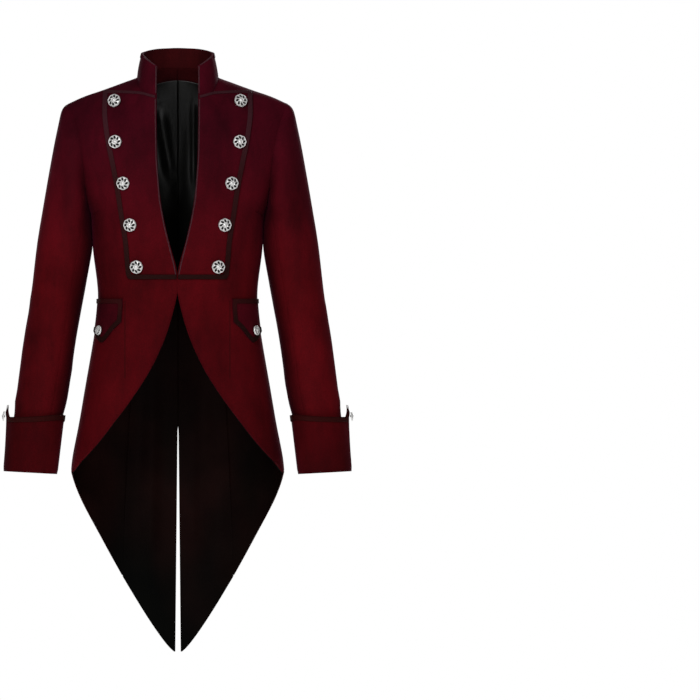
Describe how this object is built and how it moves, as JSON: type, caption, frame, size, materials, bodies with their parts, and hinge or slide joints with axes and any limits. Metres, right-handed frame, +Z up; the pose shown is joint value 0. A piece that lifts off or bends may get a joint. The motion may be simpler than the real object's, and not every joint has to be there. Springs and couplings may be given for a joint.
{
  "type": "smoking jacket",
  "caption": "Velvet tailcoat with a stand collar, braid-edged bib fronts with domed openwork metal buttons, pocket flaps, turned-back cuffs and long pointed tails.",
  "frame": {"origin": "middle of the neck base, between the shoulder ends of the neck seam", "axes": "+Z up along the wearer's neck, +X to the viewer's right seen from the front, the front faces -Y"},
  "size_m": [0.6418, 0.25, 1.1006],
  "materials": {
    "velvet": "matte",
    "lining": "satin",
    "braid": "matte",
    "button_metal": "polished"
  },
  "bodies": {
    "root": {"front_right": "velvet", "front_left": "velvet", "front_lining_right": "lining", "front_lining_left": "lining", "back_right": "velvet", "back_left": "velvet", "neck_facing_right": "velvet", "neck_facing_left": "velvet", "back_lining_right": "lining", "back_lining_left": "lining", "side_back_right": "velvet", "side_back_left": "velvet", "side_back_lining_right": "lining", "side_back_lining_left": "lining", "plastron_right": "velvet", "plastron_left": "velvet", "plastron_braid_right": "braid", "plastron_braid_left": "braid", "pocket_flap_right": "velvet", "pocket_flap_left": "velvet", "flap_braid_right": "braid", "flap_braid_left": "braid", "upper_sleeve_right": "velvet", "upper_sleeve_left": "velvet", "under_sleeve_right": "velvet", "under_sleeve_left": "velvet", "cuff_right": "velvet", "cuff_left": "velvet", "cuff_braid_right": "braid", "cuff_braid_left": "braid", "front_button_1_right": "button_metal", "front_button_1_left": "button_metal", "front_button_2_right": "button_metal", "front_button_2_left": "button_metal", "front_button_3_right": "button_metal", "front_button_3_left": "button_metal", "front_button_4_right": "button_metal", "front_button_4_left": "button_metal", "front_button_5_right": "button_metal", "front_button_5_left": "button_metal", "flap_button_right": "button_metal", "flap_button_left": "button_metal", "cuff_button_right": "button_metal", "cuff_button_left": "button_metal", "collar": "velvet", "collar_binding": "braid"}
  },
  "joints": []
}
